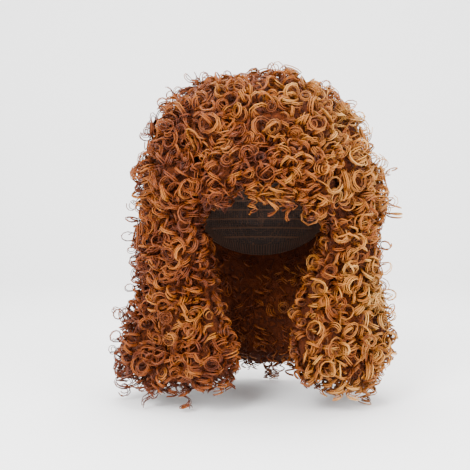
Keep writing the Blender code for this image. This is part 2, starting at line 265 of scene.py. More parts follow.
@dataclass(frozen=True)
class StrandFinish:
    """Synthetic fibre: each strand has a shade of its own and is streaked along its length, and painted shade
    darkens it where it lies close to the underhair.

    Its shade runs from depth (0) to gold (1). The by_ shares say how much the strand's own tone, streaks,
    soft clouds, the height above the underhair (painted light: the higher, the lighter) and the way to the
    wearer's left add to it.
    """

    name: str = "curled_hair_strands"
    shadow: tuple = linear(58, 19, 3)
    depth: tuple = linear(90, 35, 7)
    auburn: tuple = linear(128, 63, 12)
    caramel: tuple = linear(160, 99, 34)
    gold: tuple = linear(194, 144, 78)
    stops: tuple = (0.04, 0.36, 0.66, 0.92)
    rough: float = 0.42
    by_tone: float = 0.42
    by_streak: float = 0.30
    by_cloud: float = 0.60
    by_lift: float = 0.50
    by_side: float = 0.62
    less: float = 0.84
    cloud_scale: float = 15.0
    root_share: float = 0.85

    def build(self) -> Material:
        """Makes the material.

        Returns:
            The material.
        """
        surface = Surface(self.name, Specular_IOR_Level=0.22)
        tree, place = surface.tree, surface.place()
        tone, along, around, lift = (tree.attribute(name) for name in ("tone", "along", "around", "lift"))
        fine = tree.node("ShaderNodeCombineXYZ", X=around * 9.0, Y=along * 14.0, Z=tone * 37.0)
        streak = tree.noise(tree.out(fine), 1.0, 2.0)
        cloud = tree.noise(place, self.cloud_scale, 2.0)
        left = (tree.part(place, "X") * 2.2 + 0.5).clamped()
        shade = tone * self.by_tone + streak * self.by_streak + cloud * self.by_cloud
        # Painted light: the higher a strand stands above the underhair, the lighter its colour.
        shade = shade + lift * self.by_lift + left * self.by_side - self.less
        ramp = tree.node("ShaderNodeValToRGB", None, Fac=shade.clamped())
        ends = ramp.color_ramp.elements
        ends[0].position, ends[0].color = self.stops[0], self.depth
        ends[1].position, ends[1].color = self.stops[3], self.gold
        for position, colour in zip(self.stops[1:3], (self.auburn, self.caramel)):
            ends.new(position).color = colour
        # Painted shade: the strand is mixed toward the shadow colour where it lies close to the underhair.
        rooted = tree.maths("POWER", (1.0 - lift).clamped(), 2.0)
        surface.feed("Base Color", tree.mix_colour(rooted * self.root_share, tree.out(ramp), self.shadow))
        surface.feed("Roughness", streak * 0.2 + self.rough - 0.1)
        surface.relief(streak, 0.35, 0.0004)
        return surface.material


@dataclass(frozen=True)
class UnderhairFinish:
    """The dense hair behind the curls: strands in curled rows, coloured darker than the curls as painted
    shade of the deep hair, with more painted shade between the clumps.
    """

    name: str = "curled_hair_painted_depth_shade"
    # Painted shade: both colours are darker than the curls' own, as the deep hair lies in shade.
    dark: tuple = linear(44, 13, 1)
    light: tuple = linear(112, 48, 7)
    curls_per_metre: float = 64.0
    warp: float = 0.012

    def build(self) -> Material:
        """Makes the material.

        Returns:
            The material.
        """
        surface = Surface(self.name, Roughness=0.8, Specular_IOR_Level=0.15)
        tree, place = surface.tree, surface.place()
        warp = tree.node("ShaderNodeTexNoise", None, Vector=place, Scale=60.0, Detail=3.0)
        bent = tree.vector("MULTIPLY_ADD", tree.out(warp, "Color"), (self.warp,) * 3, place)
        cells = tree.out(tree.node("ShaderNodeTexVoronoi", None, Vector=bent, Scale=self.curls_per_metre))
        rows = tree.node("ShaderNodeCombineXYZ", X=cells * 26.0, Y=tree.out(warp) * 6.0)
        strands = tree.noise(tree.out(rows), 1.0, 3.0)
        rings = (tree.maths("SINE", cells * 13.0) * 0.12 + strands * 1.7 - 0.42).clamped()
        # Painted shade: darker in the valleys between clumps.
        shade = rings * (1.0 - tree.attribute("valley") * 0.7)
        surface.feed("Base Color", tree.mix_colour(shade, self.dark, self.light))
        surface.relief(rings, 1.0, 0.0025)
        return surface.material


@dataclass(frozen=True)
class StretchNetFinish:
    """The cap's stretch net: thin dark threads round small cells, with rows where the hair is sewn on."""

    name: str = "stretch_net"
    thread: tuple = linear(88, 56, 36)
    cell: tuple = linear(26, 17, 13)
    cell_size: float = 0.0026
    row_pitch: float = 0.012

    def build(self) -> Material:
        """Makes the material.

        Returns:
            The material.
        """
        surface = Surface(self.name, Roughness=0.75)
        tree, place = surface.tree, surface.place()
        cells = {"Vector": place, "Scale": 1 / self.cell_size, "Randomness": 0.35}
        edge = tree.node("ShaderNodeTexVoronoi", {"feature": "DISTANCE_TO_EDGE"}, **cells)
        thread = (1.0 - tree.out(edge, "Distance") * 9.0).clamped()
        row = tree.maths("SINE", tree.part(place, "Z") * (math.tau / self.row_pitch)) * 4.0 - 3.0
        cloth = tree.maths("MAXIMUM", thread, row.clamped())
        surface.feed("Base Color", tree.mix_colour(cloth, self.cell, self.thread))
        surface.relief(cloth, 0.6, 0.0004)
        return surface.material


@dataclass(frozen=True)
class ElasticBandFinish:
    """The ribbed elastic round the cap's rim: dark, with fine ribs across it and painted shade in the hollows
    between them.
    """

    name: str = "ribbed_elastic"
    ridge: tuple = linear(74, 48, 34)
    groove: tuple = linear(30, 19, 14)
    ribs_round: int = 150

    def build(self) -> Material:
        """Makes the material.

        Returns:
            The material.
        """
        surface = Surface(self.name, Roughness=0.6)
        tree, place = surface.tree, surface.place()
        turn = tree.maths("ARCTAN2", tree.part(place, "X"), tree.part(place, "Y"))
        rib = tree.maths("SINE", turn * self.ribs_round) * 0.5 + 0.5
        # Painted shade: the hollows between the ribs are coloured darker.
        surface.feed("Base Color", tree.mix_colour(rib, self.groove, self.ridge))
        surface.relief(rib, 0.5, 0.0005)
        return surface.material


def smooth(skin: BMesh, rounds: int) -> None:
    """Evens a skin out and renews its normals.

    Args:
        skin: the skin.
        rounds: how many times to even it out.
    """
    axes = {"use_axis_x": True, "use_axis_y": True, "use_axis_z": True}
    for _ in range(rounds):
        bmesh.ops.smooth_vert(skin, verts=skin.verts, factor=0.5, **axes)
    skin.normal_update()


def joined(names: list[str]) -> BMesh:
    """Copies pieces of the frame into one shape.

    Args:
        names: the pieces' names.

    Returns:
        The shape.
    """
    shape = bmesh.new()
    for name in names:
        shape.from_mesh(bpy.data.objects[name].data)
    return shape


class TierFinder:
    """Tells which tier of the frame's hair is nearest to a point."""

    def __init__(self) -> None:
        """Makes a search tree of the frame's hair and notes the tier of each face."""
        self.tiers = [tier for tier in Tier for _ in bpy.data.objects[tier.value].data.polygons]
        hair = joined([tier.value for tier in Tier])
        self.tree = BVHTree.FromBMesh(hair)
        hair.free()

    def at(self, point: Vector) -> Tier:
        """The tier nearest to a point."""
        return self.tiers[self.tree.find_nearest(point)[2]]


@dataclass
class Underhair:
    """The hair solids of the frame, fused into one and drawn in, so that the curls stand on it.

    Each sink is how far a part of the skin is drawn in, at most a share of the hair's thickness there. On the
    outside it is more in the valleys between clumps. looks has the facing and the valley of each point.
    """

    voxel: float = 0.0065
    closing: float = 0.016
    sink: float = 0.016
    inner_sink: float = 0.0015
    cap_sink: float = 0.0045
    face_sink: float = 0.0100
    fringe_sink: float = 0.0045
    share: float = 0.30
    valley_share: float = 0.12
    inside_reach: float = 0.24
    hidden_reach: float = 0.012
    face_edge_y: float = -0.040
    axis_y: float = 0.0
    clump: float = 0.034
    clump_depth: float = 0.0075
    mesh: Mesh = None
    tree: BVHTree = None
    looks: list[tuple[Facing, float]] = field(default_factory=list)

    def remeshed(self, shape: BMesh) -> BMesh:
        """Makes one closed skin of even quads round a shape, and smooths it.

        Args:
            shape: closed solids, which may cross. It is freed.

        Returns:
            The skin.
        """
        mesh = bpy.data.meshes.new("hair_rough")
        shape.to_mesh(mesh)
        shape.free()
        rough = add_object("hair_rough", mesh)
        remesh = rough.modifiers.new("voxels", "REMESH")
        remesh.mode = "VOXEL"
        remesh.voxel_size = self.voxel
        bpy.context.view_layer.update()
        skin = bmesh.new()
        skin.from_object(rough, bpy.context.evaluated_depsgraph_get())
        bpy.data.objects.remove(rough, do_unlink=True)
        smooth(skin, 3)
        return skin

    def fused(self) -> BMesh:
        """Fuses the frame's hair, then grows it and draws it back, which fills the dips between its tiers.

        Returns:
            The skin.
        """
        skin = self.remeshed(joined([tier.value for tier in Tier]))
        for step in (self.closing, -self.closing):
            for vert in skin.verts:
                vert.co += vert.normal * step
            skin = self.remeshed(skin)
        return skin

    def valley(self, point: Vector) -> float:
        """How deep between two clumps of hair a point lies, from 0 on a clump to 1."""
        stretched = Vector((point.x, point.y, point.z * 0.6)) / self.clump
        return min(1.0, max(0.0, 0.5 - noise.noise(stretched) * 1.4))

    def facing(self, point: Vector, normal: Vector, walls: tuple[BVHTree, BVHTree]) -> Facing:
        """Tells which way a point of the skin looks, from what a ray along its normal meets first.

        Args:
            point: the point.
            normal: its normal.
            walls: search trees over the skin and over the cap.

        Returns:
            Which way it looks.
        """
        start = point + normal * 0.0015
        hits = [wall.ray_cast(start, normal, self.inside_reach)[3] for wall in walls]
        reach = min((hit for hit in hits if hit is not None), default=None)
        from_axis = Vector((point.x, point.y - self.axis_y, 0.0))
        if reach is None and normal.dot(from_axis.normalized()) > -0.25:
            return Facing.OUTSIDE
        near_cap = walls[1].find_nearest(point, self.hidden_reach)[0] is not None
        if near_cap or (reach is not None and reach < self.hidden_reach):
            return Facing.HIDDEN
        return Facing.FACE_EDGE if point.y < self.face_edge_y else Facing.INSIDE

    def sink_at(self, facing: Facing, tier: Tier, valley: float) -> float:
        """Works out how far the skin is drawn in at a point.

        Args:
            facing: which way the point looks.
            tier: its tier.
            valley: how deep between clumps it lies, from 0 to 1.

        Returns:
            The distance.
        """
        if facing is Facing.OUTSIDE:
            depth = self.fringe_sink if tier is Tier.FRINGE else self.sink
            return depth + (valley - 0.5) * 2 * min(self.clump_depth, depth)
        return {Facing.HIDDEN: self.cap_sink, Facing.FACE_EDGE: self.face_sink}.get(facing, self.inner_sink)

    def build(self, finish: Material, tiers: TierFinder) -> Object:
        """Makes the underhair's object.

        Args:
            finish: its material.
            tiers: the tiers of the frame.

        Returns:
            The object.
        """
        skin = self.fused()
        cap = joined(["cap_net", "cap_band"])
        self.axis_y = (min(v.co.y for v in cap.verts) + max(v.co.y for v in cap.verts)) / 2
        walls = (BVHTree.FromBMesh(skin), BVHTree.FromBMesh(cap))
        cap.free()
        moves = []
        for vert in skin.verts:
            depth = walls[0].ray_cast(vert.co - vert.normal * 0.001, -vert.normal, 0.2)[3] or 0.2
            facing = self.facing(vert.co, vert.normal, walls)
            valley = self.valley(vert.co) if facing is Facing.OUTSIDE else 0.5
            self.looks.append((facing, valley))
            most = (self.share + self.valley_share * valley) * depth
            moves.append(min(self.sink_at(facing, tiers.at(vert.co), valley), most))
        for vert, move in zip(skin.verts, moves):
            vert.co -= vert.normal * move
        smooth(skin, 2)
        bmesh.ops.recalc_face_normals(skin, faces=skin.faces)
        self.tree = BVHTree.FromBMesh(skin)
        self.mesh = bpy.data.meshes.new("underhair")
        for face in skin.faces:
            face.smooth = True
        skin.to_mesh(self.mesh)
        skin.free()
        carried = self.mesh.attributes.new("valley", "FLOAT", "POINT")
        carried.data.foreach_set("value", [valley for _, valley in self.looks])
        self.mesh.materials.append(finish)
        return add_object("underhair", self.mesh)


@dataclass
class Root:
    """Where a curl is rooted, how deep between clumps that is, and how light the curl is, from 0 to 1."""

    point: Vector
    normal: Vector
    facing: Facing
    tier: Tier
    valley: float
    tone: float = 0.5


@dataclass
class Turn:
    """A point of a curl's guide line, with its winding.

    The strands run round centre at the distance reach, turned by angle from side towards over. The centre is
    at a height above the underhair, in the direction up. girth is the share of the strand's full size.
    """

    centre: Vector
    side: Vector
    over: Vector
    up: Vector
    angle: float
    reach: float
    along: float
    height: float
    girth: float


@dataclass
class Guide:
    """A curl's guide line."""

    tone: float
    strands: int = 4
    points: list[Turn] = field(default_factory=list)


@dataclass
class Scalp:
    """Scatters roots over the underhair, no closer than a spacing, and notes spots to look over later."""

    underhair: Underhair
    tiers: TierFinder
    seed: int = 11
    outside_spacing: float = 0.0088
    inside_spacing: float = 0.0135
    candidates: int = 60000
    looked_over: int = 12000
    spots: list = field(default_factory=list)

    def spacing(self, root: Root) -> float:
        """How far a root keeps from the others."""
        outside = TIER_SPACING.get(root.tier, self.outside_spacing)
        return self.inside_spacing if root.facing is Facing.INSIDE else outside

    def triangles(self) -> tuple[np.ndarray, np.ndarray, np.ndarray]:
        """Reads the underhair's triangles.

        Returns:
            Their corners, their normals and the number of each one's first corner.
        """
        mesh = self.underhair.mesh
        mesh.calc_loop_triangles()
        points = np.array([tuple(vert.co) for vert in mesh.vertices])
        corners = np.array([tuple(triangle.vertices) for triangle in mesh.loop_triangles])
        placed = points[corners]
        normals = np.cross(placed[:, 1] - placed[:, 0], placed[:, 2] - placed[:, 0])
        return placed, normals, corners[:, 0]

    def scatter(self) -> list[Root]:
        """Tries random places all over the underhair and keeps those with room round them.

        Returns:
            The roots.
        """
        rng = np.random.default_rng(self.seed)
        placed, normals, firsts = self.triangles()
        areas = np.linalg.norm(normals, axis=1)
        picks = rng.choice(len(areas), self.candidates, p=areas / areas.sum())
        u, v = rng.random(self.candidates), rng.random(self.candidates)
        flip = u + v > 1
        u[flip], v[flip] = 1 - u[flip], 1 - v[flip]
        a, b, c = placed[picks, 0], placed[picks, 1], placed[picks, 2]
        places = a + (b - a) * u[:, None] + (c - a) * v[:, None]
        kept: dict = {}
        roots = []
        for number, (place, pick) in enumerate(zip(places, picks)):
            point, normal = Vector(place), Vector(normals[pick]).normalized()
            facing, valley = self.underhair.looks[firsts[pick]]
            if facing is Facing.HIDDEN:
                continue
            root = Root(point, normal, facing, self.tiers.at(point), valley)
            if facing is Facing.OUTSIDE and number < self.looked_over:
                self.spots.append(replace(root, valley=1.0))
            key = tuple(math.floor(x / self.inside_spacing) for x in place)
            around = (tuple(map(sum, zip(key, step))) for step in product((-1, 0, 1), repeat=3))
            near = (other for cell in around for other in kept.get(cell, ()))
            if min(((point - other).length for other in near), default=1.0) >= self.spacing(root):
                kept.setdefault(key, []).append(point)
                roots.append(root)
        return roots


@dataclass
class Stylist:
    """Turns roots into curls: picks a kind and a size for each, and lays its guide line."""

    underhair: Underhair
    seed: int = 5
    lowest: float = -1.0
    rosette_radius: Span = (0.0066, 0.0134)
    rosette_turns: Span = (1.4, 2.2)
    rosette_pitch: Span = (0.0022, 0.0046)
    rosette_height: Span = (0.001, 0.009)
    loop_radius: Span = (0.0062, 0.0102)
    loop_turns: Span = (1.15, 1.8)
    loop_length: Span = (0.004, 0.009)
    ringlet_radius: Span = (0.0056, 0.0096)
    ringlet_turns: Span = (1.6, 2.8)
    ringlet_pitch: Span = (0.0085, 0.0200)
    hem_turns: Span = (1.1, 1.8)
    hem_pitch: Span = (0.0090, 0.0125)
    ring_steps: int = 9
    ringlet_steps: int = 8
    hem_slope: float = -0.45
    tone_middle: float = 0.72
    tone_drop: float = 0.44
    tone_spread: float = 0.20
    stray_share: float = 0.15
    stray_height: Span = (0.003, 0.008)
    stray_reach: float = 0.008
    stray_girth: float = 0.7
    stem_points: int = 4
    wisps: int = 20
    wisp_steps: int = 12
    wisp_ends: Span = (-0.096, -0.076)
    wisp_radius: Span = (0.0050, 0.0076)
    wisp_pitch: Span = (0.0090, 0.0120)
    wisp_girth: float = 0.85
    shortest_wisp: float = 0.010
    bare_gap: float = 0.0031
    bare_look: float = 0.020
    patch_spacing: float = 0.012
    patch_tone: Span = (0.15, 0.6)
    crown_point: Vector = field(default_factory=lambda: Vector((0.0, 0.02, 0.08)))

    def __post_init__(self) -> None:
        """Starts the random stream."""
        self.rng = np.random.default_rng(self.seed)

    def spread(self, low: float, high: float) -> float:
        """A random number between two."""
        return float(self.rng.uniform(low, high))

    def wobble(self, size: float) -> Vector:
        """A random vector."""
        return Vector(self.rng.normal(0.0, size, 3))

    def flow(self, point: Vector, normal: Vector) -> Vector:
        """Finds the way that hair lies at a point: away from the crown, and down.

        Args:
            point: the point.
            normal: the underhair's normal there.

        Returns:
            The direction.
        """
        away = point - self.crown_point
        away.z = 0.0
        pull = Vector((0, 0, -1)) + away * 4.0
        lying = pull - normal * pull.dot(normal)
        return lying.normalized() if lying.length > 1e-6 else Vector((0, -1, 0))

    def pick(self, root: Root) -> Callable[[Root], Guide]:
        """Picks a kind of curl for a root.

        Args:
            root: the root.

        Returns:
            The method that lays it.
        """
        draw = self.rng.random()
        if root.normal.z < self.hem_slope and draw < 0.9:
            return self.ringlet
        if root.facing is Facing.OUTSIDE:
            coils, rings = {Tier.FRINGE: (0.30, 0.40), Tier.CROWN: (0.54, 0.68)}.get(root.tier, (0.42, 0.55))
            return self.rosette if draw < coils else self.loop if draw < rings else self.ringlet
        ringlets, rings = (0.85, 0.85) if root.facing is Facing.INSIDE else (0.5, 0.8)
        return self.ringlet if draw < ringlets else self.loop if draw < rings else self.rosette

    def coil(self, centres: list[Vector], turns: float, radius: float, side: Vector, tone: float) -> Guide:
        """Winds a guide along a line of centres.

        Args:
            centres: the line's points.
            turns: how many turns the curl takes.
            radius: its radius where it is widest.
            side: a direction across the line's start.
            tone: how light its strands are, from 0 to 1.

        Returns:
            The guide.
        """
        guide = Guide(tone)
        last = len(centres) - 1
        hand = 1 if self.rng.random() < 0.5 else -1
        phase, swell = self.spread(0.0, math.tau), self.spread(0.0, math.tau)
        flat = self.spread(0.74, 1.08)
        drift, drift_turn = self.wobble(radius * 0.16), self.spread(2.0, 4.0)
        for i, middle in enumerate(centres):
            share = i / last
            centre = middle + drift * math.sin(swell + drift_turn * share * turns)
            centre.z = max(centre.z, self.lowest + radius)
            before, after = centres[max(i - 1, 0)], centres[min(i + 1, last)]
            axis = (after - before).normalized()
            side = (side - axis * side.dot(axis)).normalized()
            wide = 0.35 + 0.65 * min(1.0, share * turns / 0.6)
            wide *= 1.0 - 0.22 * share + 0.10 * math.sin(swell + 4.0 * share * turns)
            angle = phase + hand * math.tau * turns * share
            ground, up, _, _ = self.underhair.tree.find_nearest(centre)
            height = min((centre - ground).dot(up), radius * 1.1)
            girth = min(1.0, 0.55 + share * 3) * (1.0 - 0.8 * max(0.0, share - 0.6) / 0.4)
            over = axis.cross(side) * flat
            guide.points.append(Turn(centre, side, over, up, angle, radius * wide, share, height, girth))
        return guide

    def scale(self, root: Root) -> float:
        """How large curls grow at a root: small ones inside, where the neck goes."""
        sizes = {Facing.INSIDE: 0.70, Facing.FACE_EDGE: 0.72, Facing.OUTSIDE: 1.0}
        return sizes[root.facing] * (0.82 if root.tier is Tier.FRINGE else 1.0)

    def steps(self, turns: float, per_turn: int) -> int:
        """How many points a coil of that many turns takes."""
        return max(5, round(turns * per_turn) + 1)

    def rosette(self, root: Root) -> Guide:
        """Lays a coil that stands on its root, seen end on.

        Args:
            root: the root.

        Returns:
            The guide.
        """
        radius = self.spread(*self.rosette_radius) * self.scale(root)
        turns = self.spread(*self.rosette_turns)
        rise = self.spread(*self.rosette_pitch) * turns
        axis = (root.normal + self.wobble(0.30)).normalized()
        start = root.point + root.normal * self.spread(*self.rosette_height) * self.scale(root)
        count = self.steps(turns, self.ring_steps)
        centres = [start + axis * rise * i / (count - 1) for i in range(count)]
        return self.coil(centres, turns, radius, axis.orthogonal().normalized(), root.tone)

    def loop(self, root: Root) -> Guide:
        """Lays a ring that stands out from the hair on its edge.

        Args:
            root: the root.

        Returns:
            The guide.
        """
        radius = self.spread(*self.loop_radius) * self.scale(root)
        turns = self.spread(*self.loop_turns)
        flow = self.flow(root.point, root.normal)
        across = root.normal.cross(flow)
        lean = across * self.spread(0.4, 1.0) + flow * self.spread(-0.6, 0.8)
        axis = (lean + self.wobble(0.25)).normalized()
        start = root.point + root.normal * radius * self.spread(0.7, 1.15)
        length = self.spread(*self.loop_length)
        count = self.steps(turns, self.ring_steps)
        centres = [start + axis * length * (i / (count - 1) - 0.5) for i in range(count)]
        return self.coil(centres, turns, radius, -root.normal, root.tone)

    def ringlet(self, root: Root) -> Guide:
        """Lays a long coil that follows the hair down and hangs free past its edge.

        Args:
            root: the root.

        Returns:
            The guide.
        """
        radius = self.spread(*self.ringlet_radius) * self.scale(root)
        turns, pitch = self.spread(*self.ringlet_turns), self.spread(*self.ringlet_pitch)
        hanging = root.normal.z < self.hem_slope
        if hanging:
            turns, pitch = self.spread(*self.hem_turns), self.spread(*self.hem_pitch)
        count = self.steps(turns, self.ringlet_steps)
        step = pitch * turns / (count - 1)
        height = radius * (0.6 if root.facing is Facing.INSIDE else self.spread(0.75, 1.25))
        point, normal = root.point, root.normal
        heading = Vector((0, 0, -1)) if hanging else self.flow(point, normal)
        heading += self.wobble(0.16)
        centres = []
        for i in range(count):
            rise = height * min(1.0, 0.25 + i / (count * 0.35)) * (0.2 if hanging else 1.0)
            centres.append(point + normal * rise)
            lying = Vector((0, 0, -1)) if hanging else self.flow(point, normal)
            heading = (heading * 0.72 + lying * 0.28).normalized()
            ahead = point + heading * step
            spot, up, _, _ = self.underhair.tree.find_nearest(ahead)
            if hanging or up.z < -0.55 or (spot - ahead).length > 0.006:
                heading = (heading * 0.8 + Vector((0, 0, -0.25))).normalized()
                point = ahead
            else:
                point = spot
                normal = (normal * 0.6 + up * 0.4).normalized()
        return self.coil(centres, turns, radius, normal.orthogonal().normalized(), root.tone)

    def stray(self, root: Root) -> Guide:
        """Lays a loose ring of two strands that stands off the hair on a stem from its root.

        Args:
            root: the root.

        Returns:
            The guide.
        """
        height = self.spread(*self.stray_height) + self.stray_reach * abs(root.normal.x)
        guide = self.loop(replace(root, point=root.point + root.normal * height))
        guide.strands = 2
        for i, point in enumerate(guide.points):
            point.girth *= self.stray_girth
            share = min(1.0, i / self.stem_points)
            point.centre = root.point.lerp(point.centre, share)
            point.reach *= share
            point.height *= share
        return guide

    def fringe_edge(self, roots: list[Root]) -> list[Root]:
        """Finds the fringe's lowest root in each of some even strips across the forehead.

        Args:
            roots: all roots.

        Returns:
            Those roots.
        """
        fringe = [root for root in roots if root.tier is Tier.FRINGE]
        across = [root.point.x for root in fringe]
        low, high = min(across), max(across)
        strips: dict[int, Root] = {}
        for root in fringe:
            strip = min(self.wisps - 1, int((root.point.x - low) / (high - low) * self.wisps))
            if strip not in strips or root.point.z < strips[strip].point.z:
                strips[strip] = root
        return [strips[strip] for strip in sorted(strips)]

    def wisp(self, root: Root) -> Guide:
        """Lays a thin ringlet that hangs from the fringe over the forehead.

        Args:
            root: the root.

        Returns:
            The guide.
        """
        radius = self.spread(*self.wisp_radius)
        lean = Vector((self.spread(-0.35, 0.35), -0.10, -1.0)).normalized()
        start = root.point + Vector((0.0, -0.004, 0.002))
        length = max(self.shortest_wisp, start.z - self.spread(*self.wisp_ends))
        turns = length / self.spread(*self.wisp_pitch)
        count = self.steps(turns, self.wisp_steps)
        centres = [start + lean * length * i / (count - 1) for i in range(count)]
        guide = self.coil(centres, turns, radius, Vector((1, 0, 0)), self.spread(0.45, 0.8))
        guide.strands = 2
        for point in guide.points:
            point.height = max(point.height, radius)
            point.girth *= self.wisp_girth
        return guide

    def patch(self, dressed: dict[Tier, list[Guide]], spots: list[Root]) -> None:
        """Lays a coil on each bare spot between the curls.

        Args:
            dressed: the guides laid so far, by tier, to which the coils are added.
            spots: places on the outside to look over.
        """
        laid = [point for guides in dressed.values() for guide in guides for point in guide.points]
        tree = KDTree(len(laid))
        for i, point in enumerate(laid):
            tree.insert(point.centre, i)
        tree.balance()
        patched: list[Vector] = []
        for spot in spots:
            near = tree.find_range(spot.point, self.bare_look)
            gap = min((distance - laid[i].reach for _, i, distance in near), default=self.bare_look)
            if gap < self.bare_gap or any((spot.point - p).length < self.patch_spacing for p in patched):
                continue
            patched.append(spot.point)
            # Painted shade: coils in bare spots take low tones, like curls deep between clumps.
            spot.tone = self.spread(*self.patch_tone)
            guide = self.rosette(spot)
            guide.strands = 3
            dressed[spot.tier].append(guide)
        LOG.info("bare spots filled: %d", len(patched))

    def dress(self, roots: list[Root], spots: list[Root]) -> dict[Tier, list[Guide]]:
        """Lays a curl on each root, then the strays, the wisps and a coil on each bare spot.

        Args:
            roots: the roots.
            spots: places on the outside to look over for bare spots.

        Returns:
            The guides, by tier.
        """
        dressed: dict[Tier, list[Guide]] = {tier: [] for tier in Tier}
        for root in roots:
            # Painted shade: curls rooted deep between clumps take darker tones.
            middle = self.tone_middle - self.tone_drop * root.valley
            root.tone = float(np.clip(self.rng.normal(middle, self.tone_spread), 0, 1))
            guide = self.pick(root)(root)
            if root.facing is Facing.INSIDE:
                guide.strands = 2
            dressed[root.tier].append(guide)
            if root.facing is Facing.OUTSIDE and self.rng.random() < self.stray_share:
                dressed[root.tier].append(self.stray(root))
        for root in self.fringe_edge(roots):
            dressed[root.tier].append(self.wisp(root))
        self.patch(dressed, spots)
        return dressed


def guide_mesh(name: str, guides: list[Guide]) -> Mesh:
    """Lays guides in one mesh of loose lines, with the winding on its points.

    Args:
        name: the mesh's name.
        guides: the guides.

    Returns:
        The mesh.
    """
    points = [point for guide in guides for point in guide.points]
    edges, first = [], 0
    for guide in guides:
        edges.extend((first + i, first + i + 1) for i in range(len(guide.points) - 1))
        first += len(guide.points)
    mesh = bpy.data.meshes.new(name)
    mesh.from_pydata([tuple(point.centre) for point in points], edges, [])
    for key in ("side", "over", "up"):
        column = np.array([tuple(getattr(point, key)) for point in points])
        mesh.attributes.new(key, "FLOAT_VECTOR", "POINT").data.foreach_set("vector", column.ravel())
    for key in ("angle", "reach", "along", "height", "girth"):
        column = [getattr(point, key) for point in points]
        mesh.attributes.new(key, "FLOAT", "POINT").data.foreach_set("value", column)
    for key, kind in (("tone", "FLOAT"), ("strands", "INT")):
        column = [getattr(guide, key) for guide in guides for _ in guide.points]
        mesh.attributes.new(key, kind, "POINT").data.foreach_set("value", column)
    return mesh


